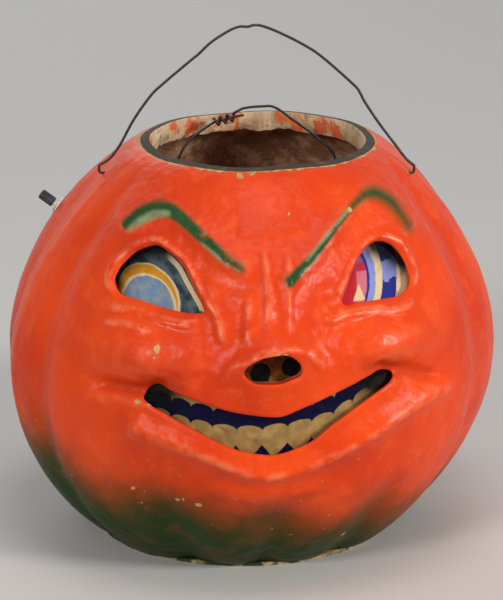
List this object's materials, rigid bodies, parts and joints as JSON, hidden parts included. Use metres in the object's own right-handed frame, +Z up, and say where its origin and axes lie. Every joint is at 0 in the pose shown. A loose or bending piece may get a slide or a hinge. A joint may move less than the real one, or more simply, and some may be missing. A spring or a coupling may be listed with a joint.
{
  "type": "pumpkin lantern pail",
  "caption": "moulded paper-pulp pumpkin pail with a smiling cut-out face, wire bail, push-button switch and lift-out battery lamp unit",
  "frame": {"origin": "under the base disc, on the body's axis at its widest level", "axes": "+Z up, the face looks towards -Y and is turned a little towards +X, the bail's holes lie along X"},
  "size_m": [0.2155, 0.2198, 0.2301],
  "materials": {
    "painted_pulp": "semi-gloss orange and green paint on moulded pulp",
    "raw_card": "raw grey-brown card",
    "printed_paper": "printed paper, matt",
    "black_wire": "blackened steel wire",
    "nickel": "nickel plate",
    "black_knob": "moulded, fluted",
    "brown_phenolic": "moulded phenolic",
    "white_nylon": "moulded",
    "brass": "plain brass",
    "spring_steel": "drawn wire",
    "tinplate": "tinned sheet",
    "bulb_glass": "clear",
    "black_holder": "moulded",
    "cell_jacket": "plain jacket",
    "rivet_alloy": "plain"
  },
  "bodies": {
    "pail": {"pumpkin_shell": "painted_pulp", "base_disc": "raw_card", "left_eye_insert": "printed_paper", "right_eye_insert": "printed_paper", "nose_insert": "printed_paper", "mouth_insert": "printed_paper", "switch_body": "brown_phenolic", "switch_bushing": "nickel", "switch_washer": "nickel", "switch_nut": "nickel", "switch_terminals": "brass", "button_spring": "spring_steel"},
    "bail": {"bail_wire": "black_wire"},
    "button": {"push_button": "black_knob", "button_plunger": "white_nylon"},
    "lamp_unit": {"lamp_tray": "tinplate", "lamp_socket": "brown_phenolic", "socket_shell": "brass", "bulb_cap": "brass", "bulb_filament": "spring_steel", "bulb_globe": "bulb_glass", "battery_holder": "black_holder", "battery_cells": "cell_jacket", "battery_contacts": "brass", "tray_rivets": "rivet_alloy"},
    "loop": {"lift_loop": "black_wire"}
  },
  "joints": [
    {"name": "bail_swing", "type": "hinge", "parent": "pail", "child": "bail", "pos_m": [0.0032, -0.012, 0.1635], "axis": [1, 0, 0], "range_deg": [-48, 64]},
    {"name": "button_press", "type": "slide", "parent": "pail", "child": "button", "axis": [0.8097, -0.2322, -0.5389], "range_m": [0, 0.0015], "stiffness_N_per_m": 300, "deforming": ["button_spring"]},
    {"name": "unit_lift", "type": "slide", "parent": "pail", "child": "lamp_unit", "axis": [0, 0, 1], "range_m": [0, 0.175]},
    {"name": "loop_swing", "type": "hinge", "parent": "lamp_unit", "child": "loop", "pos_m": [0.0037, 0, 0.009], "axis": [1, 0, 0], "range_deg": [-2.3, 23.1]}
  ]
}
